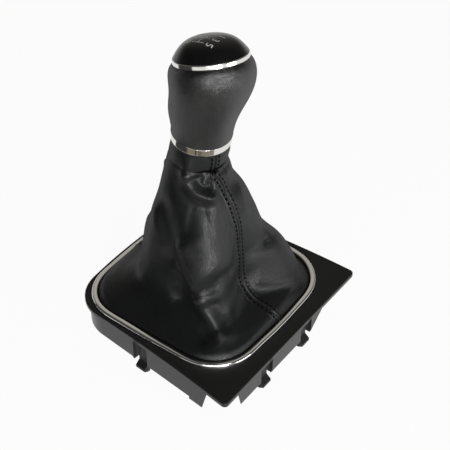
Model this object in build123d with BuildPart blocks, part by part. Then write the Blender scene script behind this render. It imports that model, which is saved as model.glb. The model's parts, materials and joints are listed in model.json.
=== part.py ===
from build123d import *
from math import atan2, cos, exp, floor, pi, radians, sin, sqrt, tan
import os

# Gear shift knob with leather boot and console bezel.
# Millimetres. +X is the car's right, +Y its front, +Z up.
# The origin is under the middle of the bezel, at the tips of its snap hooks.

# Bezel plate
plate_front_width = 148.0
plate_rear_width = 126.0
plate_length = 142.0
plate_thickness = 3.0
plate_crown = 3.4
plate_rear_bow = 5.0
plate_rear_radius = 30.0
plate_front_radius = 3.0
plate_edge_round = 0.9

# Skirt under the plate
skirt_depth = 19.5
skirt_inset = 2.6
skirt_wall = 1.8
skirt_front_radius = 12.0
corner_gap_low = 27.0
corner_gap_high = 15.0
heel_length = 11.0
heel_drop = 2.2
front_cut_angle = 41.0

# Snap hooks
hook_reach = 9.0
hook_width = 8.0
hook_thickness = 1.6
hook_setback = 3.0
barb_proud = 3.4
barb_height = 7.0
barb_tip = 2.0
slot_width = 12.5
slot_height = 15.0
rib_thickness = 1.6
rib_depth = 5.0
rib_drop = 2.0
front_hook_spacing = 45.0
front_hook_shift = 3.5
rear_hook_spacing = 46.0
side_hook_forward = -5.0

# Chrome trim round the boot
trim_front_margin = 9.0
trim_rear_margin = 4.0
trim_side_margin = 1.37
trim_bow = 3.5
trim_radius = 33.0
trim_width = 4.4
trim_rise = 3.0
trim_edge = 0.9

# Boot and its retainer
boot_wall = 1.3
boot_gap = 0.3
hem_inset = 0.4
retainer_wall = 2.0
retainer_flange = 2.2
retainer_thickness = 2.0
retainer_lip = 0.4
neck_length = 13.0
panel_points = 25
gather_depth = 0.5
gather_count = 11
gather_share = 0.86
gather_span = 0.10
# Fold that runs down to the front right corner: a ridge in front of its line, a hollow behind it
fold_depth = 3.0
fold_width = 12.0
fold_high_angle = 8.0
fold_low_angle = 38.0
fold_high_share = 0.45
fold_low_share = 0.08
fold_span = 0.17
# How sharply the ridge over each corner stands out: front right, front left, rear left, rear right
ridge_sharpness = (2.7, 1.25, 2.2, 2.7)
# Share of the boot's height, then how far out from the neck to the hem it stands there:
# right, front right, front, front left, left, rear left, rear, rear right
boot_sections = [
    (0.03, (0.95, 0.95, 0.98, 0.93, 0.96, 0.96, 0.97, 0.95)),
    (0.06, (0.82, 0.80, 0.92, 0.89, 0.88, 0.90, 0.90, 0.83)),
    (0.10, (0.66, 0.63, 0.60, 0.86, 0.72, 0.80, 0.70, 0.66)),
    (0.15, (0.52, 0.50, 0.43, 0.82, 0.56, 0.68, 0.52, 0.50)),
    (0.22, (0.42, 0.41, 0.35, 0.76, 0.45, 0.56, 0.41, 0.43)),
    (0.31, (0.36, 0.39, 0.32, 0.66, 0.37, 0.46, 0.35, 0.39)),
    (0.40, (0.33, 0.43, 0.32, 0.50, 0.34, 0.39, 0.32, 0.35)),
    (0.48, (0.30, 0.41, 0.31, 0.39, 0.31, 0.35, 0.30, 0.33)),
    (0.62, (0.25, 0.32, 0.29, 0.30, 0.26, 0.27, 0.26, 0.26)),
    (0.76, (0.18, 0.19, 0.19, 0.19, 0.17, 0.17, 0.18, 0.17)),
    (0.86, (0.10, 0.10, 0.07, 0.06, 0.08, 0.09, 0.10, 0.11)),
    (0.94, (0.04, 0.04, 0.02, 0.01, 0.03, 0.03, 0.04, 0.05)),
]

# Knob
knob_lean_angle = 6.0
knob_back = 2.9
collar_height = 124.7
collar_radius = 18.7
collar_flare = 0.3
collar_depth = 5.0
spigot_radius = 16.2
fit = 0.05
core_radius = 12.0
core_length = 44.0
cap_height = 57.6
cap_forward = 2.2
cap_tilt_angle = 20.5
cap_roll_angle = 8.5
cap_radius = 21.8
cap_dome = 10.6
cap_side_angle = 58.0
cap_shoulder_out = 0.75
cap_shoulder_up = 0.62
cap_boss = 8.0
cap_boss_length = 9.0
ring_thickness = 3.0
ring_width = 5.3
ring_proud = 0.4
ring_edge = 0.6
grip_top_gap = 0.3
# Share of the grip's height, then how far forward it lies there and how wide it is,
# both against the radius of its foot
grip_sections = [
    (0.00, 0.000, 1.02),
    (0.20, 0.000, 1.09),
    (0.42, 0.083, 1.22),
    (0.64, 0.210, 1.33),
    (0.84, 0.195, 1.38),
]

# Lever sleeve and clamp
lever_radius = 6.0
sleeve_wall = 2.4
sleeve_drop = 28.0
sleeve_depth = 36.0
clamp_width = 7.0
clamp_thickness = 1.2
clamp_ear = 4.0

# Tie round the boot's neck
tie_rise = 0.5
tie_width = 2.0
tie_thickness = 0.9
tie_head = 5.0

os.makedirs("parts", exist_ok=True)

plate_edge_z = skirt_depth + hook_reach
skirt_bottom = hook_reach
front_half = plate_front_width / 2
rear_half = plate_rear_width / 2
half_length = plate_length / 2
side_slope = (front_half - rear_half) / plate_length
crown_radius = (half_length**2 + plate_crown**2) / (2 * plate_crown)
crown_center = plate_edge_z + plate_crown - crown_radius
tall = plate_edge_z + plate_crown + trim_rise


def side_half(y):
    """Half width of the plate at a distance forward of its middle."""
    return rear_half + side_slope * (y + half_length)


def rear_edge(x, inset):
    """Where the bowed rear edge lies, drawn in from the plate's edge."""
    chord = rear_half - inset
    bow_radius = (chord**2 + plate_rear_bow**2) / (2 * plate_rear_bow)
    return -half_length + inset + bow_radius - sqrt(bow_radius**2 - x**2)


def plate_plan(inset, front_radius):
    """Plan of the plate, drawn in from its edge: square front, rounded and bowed rear."""
    front = half_length - inset
    rear = -half_length + inset + plate_rear_bow
    front_x = side_half(front) - inset
    rear_x = rear_half - inset
    with BuildSketch() as plan:
        with BuildLine():
            ThreePointArc((-rear_x, rear), (0, -half_length + inset), (rear_x, rear))
            Polyline((rear_x, rear), (front_x, front), (-front_x, front), (-rear_x, rear))
        make_face()
        fillet(plan.vertices().group_by(Axis.Y)[0], plate_rear_radius - inset)
        fillet(plan.vertices().group_by(Axis.Y)[-1], front_radius)
    return plan.sketch


# The trim clears the plate's edges; its sides come nearest where its rear corners start
trim_half_y = (plate_length - trim_front_margin - trim_rear_margin) / 2
trim_y = half_length - trim_front_margin - trim_half_y
trim_half_x = side_half(trim_y - trim_half_y + trim_radius) - trim_side_margin


def trim_plan(inset):
    """Plan of the trim's outer edge, drawn in: a rounded square with bowed sides."""
    half_x = trim_half_x - inset
    half_y = trim_half_y - inset
    corner_x = half_x - trim_bow
    rear = trim_y - half_y + trim_bow
    front = trim_y + half_y - trim_bow
    with BuildSketch() as plan:
        with BuildLine():
            ThreePointArc((-corner_x, rear), (0, trim_y - half_y), (corner_x, rear))
            ThreePointArc((corner_x, rear), (half_x, trim_y), (corner_x, front))
            ThreePointArc((corner_x, front), (0, trim_y + half_y), (-corner_x, front))
            ThreePointArc((-corner_x, front), (-half_x, trim_y), (-corner_x, rear))
        make_face()
        fillet(plan.vertices(), trim_radius - inset)
    return plan.sketch


def crown_z(y, rise):
    """Height of the crowned surface that lies above the plate's top by the rise."""
    return crown_center + sqrt((crown_radius + rise) ** 2 - y**2)


def crown_band(low, high):
    """Side view of a layer that follows the crown of the plate's top."""
    end = half_length + trim_rise
    with BuildSketch() as band:
        with BuildLine():
            ThreePointArc((-end, crown_z(end, low)), (0, crown_z(0, low)), (end, crown_z(end, low)))
            Line((end, crown_z(end, low)), (end, crown_z(end, high)))
            ThreePointArc((end, crown_z(end, high)), (0, crown_z(0, high)), (-end, crown_z(end, high)))
            Line((-end, crown_z(end, high)), (-end, crown_z(end, low)))
        make_face()
    return band.sketch


# Skirt: a wall that follows the plate's edge, open at the two front corners
side_angle = pi / 2 - Vector(side_slope, 1).get_angle(Vector(1, 0)) * pi / 180
front_wall = half_length - skirt_inset
side_normal = Vector(cos(side_angle), -sin(side_angle), 0)
side_hook_x = side_half(side_hook_forward) - skirt_inset
hook_places = [
    (Vector(side_hook_x, side_hook_forward, 0), side_normal),
    (Vector(-side_hook_x, side_hook_forward, 0), Vector(-side_normal.X, side_normal.Y, 0)),
]
for side in (-1, 1):
    front_x = front_hook_shift + side * front_hook_spacing / 2
    rear_x = side * rear_hook_spacing / 2
    hook_places.append((Vector(front_x, front_wall, 0), Vector(0, 1, 0)))
    hook_places.append((Vector(rear_x, rear_edge(rear_x, skirt_inset), 0), Vector(0, -1, 0)))

with BuildPart() as skirt:
    with BuildSketch(Plane.XY.offset(skirt_bottom - heel_drop)):
        add(plate_plan(skirt_inset, skirt_front_radius))
        add(plate_plan(skirt_inset + skirt_wall, skirt_front_radius - skirt_wall), mode=Mode.SUBTRACT)
    extrude(amount=tall)
    heel_end = front_wall - corner_gap_low / sqrt(2) - heel_length
    with BuildSketch(Plane.XY):
        with Locations((0, heel_end - plate_length)):
            Rectangle(2 * plate_front_width, 2 * plate_length)
        with Locations((0, half_length)):
            Rectangle(2 * (front_half - corner_gap_low / 2), plate_length / 2)
    extrude(amount=skirt_bottom, mode=Mode.SUBTRACT)
    for side in (-1, 1):
        corner = (side * (side_half(front_wall) - skirt_inset), front_wall, 0)
        corner_plane = Plane(corner, x_dir=(-1, side, 0), z_dir=(side, 1, 0))
        with BuildSketch(corner_plane):
            Trapezoid(
                corner_gap_low,
                tall,
                Vector(corner_gap_low - corner_gap_high, 2 * tall).get_angle(Vector(1, 0)),
                align=(Align.CENTER, Align.MIN),
            )
        extrude(amount=corner_gap_low, both=True, mode=Mode.SUBTRACT)
    # The front wall is cut back at an angle from the slot of its left hook
    cut_start = front_hook_shift - (front_hook_spacing + slot_width) / 2
    cut_top = tall - skirt_bottom
    cut_view = Plane((cut_start, front_wall, skirt_bottom), x_dir=(-1, 0, 0), z_dir=(0, 1, 0))
    with BuildSketch(cut_view):
        with BuildLine():
            Polyline(
                (0, -skirt_bottom),
                (0, 0),
                (cut_top / tan(radians(front_cut_angle)), cut_top),
                (plate_front_width, cut_top),
                (plate_front_width, -skirt_bottom),
                close=True,
            )
        make_face()
    extrude(amount=skirt_front_radius, both=True, mode=Mode.SUBTRACT)
    for place, outward in hook_places:
        side_view = Plane(place, x_dir=outward, z_dir=outward.cross(Vector(0, 0, 1)))
        with BuildSketch(side_view):
            with Locations((-skirt_wall / 2, 0)):
                Rectangle(2 * skirt_wall, skirt_bottom + slot_height, align=(Align.CENTER, Align.MIN))
        extrude(amount=slot_width / 2, both=True, mode=Mode.SUBTRACT)
        with BuildSketch(side_view):
            with BuildLine():
                Polyline(
                    (-hook_setback - hook_thickness, 0),
                    (-hook_setback, 0),
                    (barb_proud - hook_setback, barb_tip),
                    (barb_proud - hook_setback, 2 * barb_tip),
                    (-hook_setback, barb_height),
                    (-hook_setback, tall),
                    (-hook_setback - hook_thickness, tall),
                    close=True,
                )
            make_face()
        extrude(amount=hook_width / 2, both=True)
        for end in (-1, 1):
            rib_plane = side_view.offset(end * (slot_width + rib_thickness) / 2)
            with BuildSketch(rib_plane):
                with Locations((-skirt_wall / 2, skirt_bottom - rib_drop)):
                    Rectangle(rib_depth, slot_height + rib_drop, align=(Align.MAX, Align.MIN))
            extrude(amount=rib_thickness / 2, both=True)
    with BuildSketch(Plane.YZ):
        add(crown_band(-tall - plate_crown, -plate_thickness / 2))
    extrude(amount=plate_front_width, both=True, mode=Mode.INTERSECT)

# Bezel: crowned plate with the boot's opening, moulded in one with its skirt and hooks
with BuildPart() as bezel_plate:
    with BuildSketch(Plane.XY):
        add(plate_plan(0, plate_front_radius))
        add(trim_plan(trim_width), mode=Mode.SUBTRACT)
    extrude(amount=tall)
    with BuildSketch(Plane.YZ):
        add(crown_band(-plate_thickness, 0))
    extrude(amount=plate_front_width, both=True, mode=Mode.INTERSECT)
    top_face = bezel_plate.faces().sort_by(Axis.Z)[-1]
    fillet(top_face.outer_wire().edges(), plate_edge_round)
    add(skirt.part)
bezel_plate.part.label = "bezel_plate"
export_step(bezel_plate.part, "parts/bezel_plate.step")

# Chrome trim ring that lies on the plate round the boot
with BuildPart() as bezel_trim:
    with BuildSketch(Plane.XY):
        add(trim_plan(0))
        add(trim_plan(trim_width), mode=Mode.SUBTRACT)
    extrude(amount=tall)
    with BuildSketch(Plane.YZ):
        add(crown_band(0, trim_rise))
    extrude(amount=plate_front_width, both=True, mode=Mode.INTERSECT)
    fillet(bezel_trim.faces().sort_by(Axis.Z)[-1].edges(), trim_edge)
bezel_trim.part.label = "bezel_trim"
export_step(bezel_trim.part, "parts/bezel_trim.step")

# Retainer: flange under the plate and a lip inside the boot's hem
hem_outer = trim_width + hem_inset
lip_outer = hem_outer + boot_wall + boot_gap
with BuildPart() as retainer_lip_ring:
    with BuildSketch(Plane.XY):
        add(trim_plan(lip_outer))
        add(trim_plan(lip_outer + retainer_wall), mode=Mode.SUBTRACT)
    extrude(amount=tall)
    with BuildSketch(Plane.YZ):
        add(crown_band(-plate_thickness - retainer_thickness, retainer_lip))
    extrude(amount=plate_front_width, both=True, mode=Mode.INTERSECT)
with BuildPart() as boot_retainer:
    with BuildSketch(Plane.XY):
        add(trim_plan(lip_outer - retainer_flange))
        add(trim_plan(lip_outer + retainer_wall), mode=Mode.SUBTRACT)
    extrude(amount=tall)
    with BuildSketch(Plane.YZ):
        add(crown_band(-plate_thickness - retainer_thickness, -plate_thickness))
    extrude(amount=plate_front_width, both=True, mode=Mode.INTERSECT)
    add(retainer_lip_ring.part)
boot_retainer.part.label = "boot_retainer"
export_step(boot_retainer.part, "parts/boot_retainer.step")

# Knob axis: it leans forward, and every knob piece is drawn in this plane's frame
lean = radians(knob_lean_angle)
knob_plane = Plane(
    (0, -knob_back, plate_edge_z + collar_height),
    x_dir=(1, 0, 0),
    z_dir=(0, sin(lean), cos(lean)),
)


def knob_section(forward, height, share):
    """Plane across the knob; by the cap it has tilted back and rolled to the driver's side."""
    origin = knob_plane.from_local_coords(Vector(0, forward, height))
    level = Plane(origin, x_dir=knob_plane.x_dir, z_dir=knob_plane.z_dir)
    return level.rotated((share * cap_tilt_angle, -share * cap_roll_angle, 0))


cap_plane = knob_section(cap_forward, cap_height, 1)
ring_radius = cap_radius + ring_proud
cap_spigot = ring_radius - ring_width

# Core: moulded carrier with the spigot for the collar and the boot's neck
sleeve_radius = lever_radius + sleeve_wall
with BuildPart() as knob_core:
    with BuildSketch(knob_plane.offset(-neck_length)):
        Circle(spigot_radius)
    extrude(amount=neck_length + collar_depth)
    with BuildSketch(knob_plane):
        Circle(core_radius)
    extrude(amount=core_length)
    with BuildSketch(knob_plane.offset(-neck_length)):
        Circle(sleeve_radius + fit)
    extrude(amount=neck_length + sleeve_depth, mode=Mode.SUBTRACT)
knob_core.part.label = "knob_core"
export_step(knob_core.part, "parts/knob_core.step")

# Grip: grained cover that swells forward under the cap
grip_foot = collar_radius - collar_flare
with BuildPart() as knob_grip:
    for share, forward, swell in grip_sections:
        height = collar_depth + share * (cap_height - collar_depth)
        with BuildSketch(knob_section(forward * grip_foot, height, share)):
            Circle(swell * grip_foot)
    with BuildSketch(cap_plane):
        Circle(ring_radius - grip_top_gap)
    loft()
    with BuildSketch(knob_plane):
        Circle(core_radius + fit)
    extrude(amount=core_length + fit, mode=Mode.SUBTRACT)
    with BuildSketch(cap_plane):
        Circle(cap_boss + fit)
    extrude(amount=-cap_boss_length - fit, mode=Mode.SUBTRACT)
knob_grip.part.label = "knob_grip"
export_step(knob_grip.part, "parts/knob_grip.step")

# Upper ring: thin chrome band between the grip and the cap
with BuildPart() as knob_upper_ring:
    with BuildSketch(cap_plane):
        Circle(ring_radius)
        Circle(cap_spigot + fit, mode=Mode.SUBTRACT)
    extrude(amount=ring_thickness)
    outer_face = knob_upper_ring.faces().filter_by(GeomType.CYLINDER).sort_by(SortBy.RADIUS)[-1]
    fillet(outer_face.edges().filter_by(GeomType.CIRCLE), ring_edge)
knob_upper_ring.part.label = "knob_upper_ring"
export_step(knob_upper_ring.part, "parts/knob_upper_ring.step")

# Cap: gloss dome with a spigot through the ring and a boss into the grip
with BuildPart() as knob_cap:
    dome_plane = cap_plane.offset(ring_thickness)
    with BuildSketch(Plane(dome_plane.origin, x_dir=dome_plane.x_dir, z_dir=-dome_plane.y_dir)):
        with BuildLine():
            shoulder = (cap_radius * cap_shoulder_out, cap_dome * cap_shoulder_up)
            side_way = (-cos(radians(cap_side_angle)), sin(radians(cap_side_angle)))
            Spline((cap_radius, 0), shoulder, (0, cap_dome), tangents=(side_way, (-1, 0)))
            Polyline((0, cap_dome), (0, 0), (cap_radius, 0))
        make_face()
    revolve(axis=Axis(dome_plane.origin, dome_plane.z_dir))
    with BuildSketch(cap_plane):
        Circle(cap_spigot)
    extrude(amount=ring_thickness)
    with BuildSketch(cap_plane):
        Circle(cap_boss)
    extrude(amount=-cap_boss_length)
knob_cap.part.label = "knob_cap"
export_step(knob_cap.part, "parts/knob_cap.step")

# Collar: chrome ring at the foot of the grip, a little wider below
with BuildPart() as knob_collar:
    with BuildSketch(knob_plane):
        Circle(collar_radius)
    with BuildSketch(knob_plane.offset(collar_depth)):
        Circle(collar_radius - collar_flare)
    loft()
    fillet(knob_collar.edges().filter_by(GeomType.CIRCLE), ring_edge)
    with BuildSketch(knob_plane):
        Circle(spigot_radius + fit)
    extrude(amount=collar_depth, mode=Mode.SUBTRACT)
knob_collar.part.label = "knob_collar"
export_step(knob_collar.part, "parts/knob_collar.step")

# Lever sleeve: tube inside the core that slides on to the shift lever
with BuildPart() as lever_sleeve:
    with BuildSketch(knob_plane.offset(-sleeve_drop)):
        Circle(sleeve_radius)
        Circle(lever_radius, mode=Mode.SUBTRACT)
    extrude(amount=sleeve_drop + sleeve_depth)
lever_sleeve.part.label = "lever_sleeve"
export_step(lever_sleeve.part, "parts/lever_sleeve.step")

# Clamp: band with a pinched ear round the sleeve's lower end
with BuildPart() as lever_clamp:
    with BuildSketch(knob_plane.offset(-sleeve_drop)):
        Circle(sleeve_radius + fit + clamp_thickness)
        with Locations((0, sleeve_radius + clamp_ear / 2)):
            RectangleRounded(clamp_ear, clamp_ear + 2 * clamp_thickness, clamp_thickness)
        Circle(sleeve_radius + fit, mode=Mode.SUBTRACT)
    extrude(amount=clamp_width)
lever_clamp.part.label = "lever_clamp"
export_step(lever_clamp.part, "parts/lever_clamp.step")

# Boot: leather tent from the trim up to the knob's neck, sewn from two halves.
neck_radius = spigot_radius + boot_gap + boot_wall
neck_foot = knob_plane.from_local_coords(Vector(0, 0, -neck_length))
boot_foot = plate_edge_z + plate_crown - plate_thickness + boot_gap
hem_top = plate_edge_z + plate_crown + boot_gap
hem_x = trim_half_x - hem_outer
hem_y = trim_half_y - hem_outer
hem_radius = trim_radius - hem_outer

# The hem's outline: bowed sides and ends, and the corner arc that touches both from inside
side_radius = ((hem_y - trim_bow) ** 2 + trim_bow**2) / (2 * trim_bow)
end_radius = ((hem_x - trim_bow) ** 2 + trim_bow**2) / (2 * trim_bow)
side_center = Vector(hem_x - side_radius, 0)
end_center = Vector(0, hem_y - end_radius)
across = end_center - side_center
side_reach = side_radius - hem_radius
end_reach = end_radius - hem_radius
along = (across.length**2 + side_reach**2 - end_reach**2) / (2 * across.length)
aside = sqrt(side_reach**2 - along**2)
onward = across.normalized()
corner_center = side_center + onward * along + onward.rotate(Axis.Z, 90) * aside
side_touch = side_center + (corner_center - side_center).normalized() * side_radius
end_touch = end_center + (corner_center - end_center).normalized() * end_radius


def hem_reach(angle):
    """Distance from the hem's middle to its bowed side, bowed end or rounded corner."""
    toward = Vector(abs(cos(angle)), abs(sin(angle)))
    turned = atan2(toward.Y, toward.X)
    center, radius = corner_center, hem_radius
    if turned < atan2(side_touch.Y, side_touch.X):
        center, radius = side_center, side_radius
    elif turned > atan2(end_touch.Y, end_touch.X):
        center, radius = end_center, end_radius
    middle = toward.dot(center)
    return middle + sqrt(middle**2 - center.length**2 + radius**2)


def bump(place, middle, span):
    """Smooth hump that is one at its middle and dies away over the span."""
    return exp(-(((place - middle) / span) ** 2))


# Levels of the boot from its hem to the foot of its neck
ways = len(boot_sections[0][1])
boot_levels = [(0, [1] * ways), *boot_sections, (1, [0] * ways)]
boot_height = neck_foot.Z - hem_top
level_planes = []
for share, outs in boot_levels[:-1]:
    level_planes.append(Plane((0, trim_y + share * (neck_foot.Y - trim_y), hem_top + share * boot_height)))
level_planes.append(knob_plane.offset(-neck_length))


def boot_out(level, angle):
    """How far out a level stands at an angle: a ridge over each corner, flatter between them."""
    outs = boot_levels[level][1]
    quarter = angle / (pi / 2)
    side = outs[2 * round(quarter) % ways]
    corner = 2 * floor(quarter) % ways + 1
    return side + (outs[corner] - side) * abs(sin(2 * angle)) ** ridge_sharpness[corner // 2]


def wall_across(level, angle):
    """Thickness of the leather across a level: more where the boot lies flatter."""
    below = max(level - 1, 0)
    above = min(level + 1, len(boot_levels) - 1)
    if above - below < 2:
        return boot_wall
    run = (boot_out(below, angle) - boot_out(above, angle)) * (hem_reach(angle) - neck_radius)
    rise = (boot_levels[above][0] - boot_levels[below][0]) * boot_height
    return boot_wall * sqrt(1 + (run / rise) ** 2)


def fold_lift(share, angle):
    """Corner fold: out in front of its line and in behind it, dying away up and down."""
    along = (share - fold_low_share) / (fold_high_share - fold_low_share)
    line = fold_low_angle + along * (fold_high_angle - fold_low_angle)
    turn = (angle - radians(line)) / radians(fold_width)
    middle = (fold_low_share + fold_high_share) / 2
    return fold_depth * turn * sqrt(2) * exp(0.5 - turn**2) * bump(share, middle, fold_span)


def panel_curve(side, level, inside):
    """Half of the boot's outline at a level, with the gathers at the neck and the corner fold."""
    share = boot_levels[level][0]
    points = []
    for step in range(panel_points):
        angle = pi * (step / (panel_points - 1) - side / 2)
        reach = neck_radius + boot_out(level, angle) * (hem_reach(angle) - neck_radius)
        reach += gather_depth * cos(gather_count * angle) * bump(share, gather_share, gather_span)
        reach += fold_lift(share, angle)
        if inside:
            reach -= wall_across(level, angle)
        points.append(Vector(reach * cos(angle), reach * sin(angle)))
    return Edge.make_spline(points, parameters=list(range(panel_points)))


def panel_slice(side, level):
    """Thin slice across one half of the boot, from the seam behind to the seam in front."""
    outer = panel_curve(side, level, False)
    inner = panel_curve(side, level, True)
    with BuildSketch() as slice_plan:
        with BuildLine():
            add(outer)
            add(inner)
            Line(outer @ 0, inner @ 0)
            Line(outer @ 1, inner @ 1)
        make_face()
    return slice_plan.sketch


for name, side in (("boot_right_panel", 1), ("boot_left_panel", -1)):
    slices = [panel_slice(side, level) for level in range(len(boot_levels))]
    with BuildPart() as boot_panel:
        for plane, slice_plan in zip(level_planes, slices):
            with BuildSketch(plane):
                add(slice_plan)
        loft()
        with BuildSketch(level_planes[0]):
            add(slices[0])
        extrude(amount=boot_foot - hem_top)
        with BuildSketch(level_planes[-1]):
            add(slices[-1])
        extrude(amount=neck_length - boot_gap)
    boot_panel.part.label = name
    export_step(boot_panel.part, f"parts/{name}.step")

# Tie: cord drawn tight round the boot's neck, with its knot over the front seam
tie_inner = neck_radius + boot_gap
with BuildPart() as boot_tie:
    with BuildSketch(knob_plane.offset(-neck_length + tie_rise)):
        Circle(tie_inner + tie_thickness)
        with Locations((0, tie_inner + tie_thickness)):
            RectangleRounded(tie_head, 2 * tie_thickness, tie_thickness / 2)
        Circle(tie_inner, mode=Mode.SUBTRACT)
    extrude(amount=tie_width)
boot_tie.part.label = "boot_tie"
export_step(boot_tie.part, "parts/boot_tie.step")
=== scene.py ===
"""Gear shift knob with a leather boot in a console bezel: finishes, boot skin, stitching and shift marks."""

import json
import math

import bmesh
import bpy
import numpy as np
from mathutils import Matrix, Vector
from mathutils.bvhtree import BVHTree


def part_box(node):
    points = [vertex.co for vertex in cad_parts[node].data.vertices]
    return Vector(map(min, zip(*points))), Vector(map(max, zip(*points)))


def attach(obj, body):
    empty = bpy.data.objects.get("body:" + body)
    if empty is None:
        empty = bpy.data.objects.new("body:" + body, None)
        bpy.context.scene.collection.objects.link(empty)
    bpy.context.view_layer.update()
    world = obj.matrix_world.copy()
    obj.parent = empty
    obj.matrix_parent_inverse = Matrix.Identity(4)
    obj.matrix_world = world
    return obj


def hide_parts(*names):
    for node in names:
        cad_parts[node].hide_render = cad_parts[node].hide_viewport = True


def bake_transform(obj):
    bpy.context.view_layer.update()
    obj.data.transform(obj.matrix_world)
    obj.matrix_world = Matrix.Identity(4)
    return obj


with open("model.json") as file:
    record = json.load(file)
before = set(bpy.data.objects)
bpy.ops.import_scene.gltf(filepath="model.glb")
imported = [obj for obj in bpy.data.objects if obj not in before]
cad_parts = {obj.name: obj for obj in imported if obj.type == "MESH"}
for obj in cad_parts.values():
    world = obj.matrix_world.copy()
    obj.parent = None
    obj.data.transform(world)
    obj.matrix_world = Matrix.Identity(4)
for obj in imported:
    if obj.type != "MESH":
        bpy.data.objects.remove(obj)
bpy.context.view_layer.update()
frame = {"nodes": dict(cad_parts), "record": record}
record = frame["record"]
MM = 0.001


# Places read from the frame


def node_points(name):
    """Vertices of a CAD node, one row each."""
    vertices = frame["nodes"][name].data.vertices
    points = np.empty(len(vertices) * 3)
    vertices.foreach_get("co", points)
    return points.reshape(-1, 3)


lever_bore = next(mount for mount in record["mounts"] if mount["name"] == "lever_bore")
knob_up = -np.array(lever_bore["axis"])
knob_foot = np.array(lever_bore["pos_m"])
collar_low = (node_points("knob_collar") - knob_foot) @ knob_up
collar_middle = knob_foot + knob_up * collar_low.min()

ring_points = node_points("knob_upper_ring")
ring_middle = (ring_points.min(axis=0) + ring_points.max(axis=0)) / 2
ring_spread = np.linalg.eigh(np.cov((ring_points - ring_points.mean(axis=0)).T))
ring_up = ring_spread[1][:, 0] * np.sign(ring_spread[1][2, 0])

trim_low, trim_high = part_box("bezel_trim")
trim_middle = (trim_low + trim_high) / 2
plate_low, plate_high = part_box("bezel_plate")


# Shader maths as expressions


class Value:
    """A socket that takes part in Python arithmetic: each operation adds its Math node."""

    def __init__(self, shader, socket):
        self.shader = shader
        self.socket = socket

    def math(self, operation, *others):
        return self.shader.node("ShaderNodeMath", {"operation": operation}, [self, *others])

    def __add__(self, other):
        return self.math("ADD", other)

    def __radd__(self, other):
        return self.math("ADD", other)

    def __sub__(self, other):
        return self.math("SUBTRACT", other)

    def __rsub__(self, other):
        return self.shader.node("ShaderNodeMath", {"operation": "SUBTRACT"}, [other, self])

    def __mul__(self, other):
        return self.math("MULTIPLY", other)

    def __rmul__(self, other):
        return self.math("MULTIPLY", other)

    def clamp(self, low, high):
        return self.math("MAXIMUM", low).math("MINIMUM", high)


class Shader:
    """Node tree of one material or of the world, with one way to add any node."""

    def __init__(self, tree):
        self.tree = tree
        self.tree.nodes.clear()

    def node(self, kind, settings=None, inputs=None, output=0):
        """Adds a node, sets it up, fills its sockets by number or name, and gives one of its outputs."""
        made = self.tree.nodes.new(kind)
        for key, value in (settings or {}).items():
            if key == "stops":
                self.set_stops(made.color_ramp, value)
            else:
                setattr(made, key, value)
        pairs = enumerate(inputs) if isinstance(inputs, list) else (inputs or {}).items()
        for key, value in pairs:
            if isinstance(value, Value):
                self.tree.links.new(value.socket, made.inputs[key])
            else:
                made.inputs[key].default_value = value
        return Value(self, made.outputs[output]) if len(made.outputs) else made

    def set_stops(self, ramp, stops):
        while len(ramp.elements) < len(stops):
            ramp.elements.new(1.0)
        for element, (place, shade) in zip(ramp.elements, stops):
            element.position = place
            element.color = (*shade, 1.0)

    def object_place(self):
        return self.node("ShaderNodeTexCoord", output="Object")

    def noise(self, place, scale, detail=3.0, rough=0.5, stretch=0.0):
        inputs = {"Vector": place, "Scale": scale, "Detail": detail, "Roughness": rough}
        inputs["Distortion"] = stretch
        return self.node("ShaderNodeTexNoise", {"noise_dimensions": "3D"}, inputs)

    def cells(self, place, scale):
        """Distance from the edges of small cells, like the pebbles of a grain."""
        settings = {"feature": "DISTANCE_TO_EDGE", "voronoi_dimensions": "3D"}
        return self.node("ShaderNodeTexVoronoi", settings, {"Vector": place, "Scale": scale})

    def shades(self, amount, low, high):
        """Mixes two colours by a value."""
        inputs = {0: amount, 6: (*low, 1.0), 7: (*high, 1.0)}
        return self.node("ShaderNodeMix", {"data_type": "RGBA"}, inputs, output=2)

    def edge_on(self):
        """0 where a surface is seen square on, rising to 1 edge on, so that its gloss can dull there."""
        facing = self.node("ShaderNodeLayerWeight", {}, {"Blend": 0.5}, output="Facing")
        return facing * facing

    def bump(self, height, distance, strength):
        inputs = {"Height": height, "Distance": distance, "Strength": strength}
        return self.node("ShaderNodeBump", {}, inputs)

    def surface(self, **sockets):
        """Principled surface; underscores in a name stand for spaces."""
        inputs = {key.replace("_", " "): value for key, value in sockets.items()}
        shader = self.node("ShaderNodeBsdfPrincipled", {}, inputs)
        self.node("ShaderNodeOutputMaterial", {}, {"Surface": shader})


def new_material(name):
    material = bpy.data.materials.new(name)
    material.use_nodes = True
    return material, Shader(material.node_tree)


# Finishes


def boot_leather():
    """Soft black leather: fine pebbled grain, broad tone changes and a slight sheen."""
    material, shader = new_material("boot_leather")
    place = shader.object_place()
    tone = shader.noise(place, scale=35.0, detail=4.0)
    pebble = shader.cells(place, scale=1150.0)
    pores = shader.noise(place, scale=2600.0, detail=2.0)
    rows = shader.noise(place, scale=420.0, detail=3.0, rough=0.6, stretch=0.6)
    grain = pebble.clamp(0.0, 0.35) * 1.6 + pores * 0.35 + rows * 0.9
    shader.surface(
        Base_Color=shader.shades(tone, (0.0054, 0.0057, 0.0061), (0.0088, 0.0093, 0.0099)),
        Roughness=0.27 + tone * 0.06 + shader.edge_on() * 0.55,
        Specular_IOR_Level=0.29,
        Normal=shader.bump(grain, distance=0.22 * MM, strength=0.50),
    )
    return material


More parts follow.
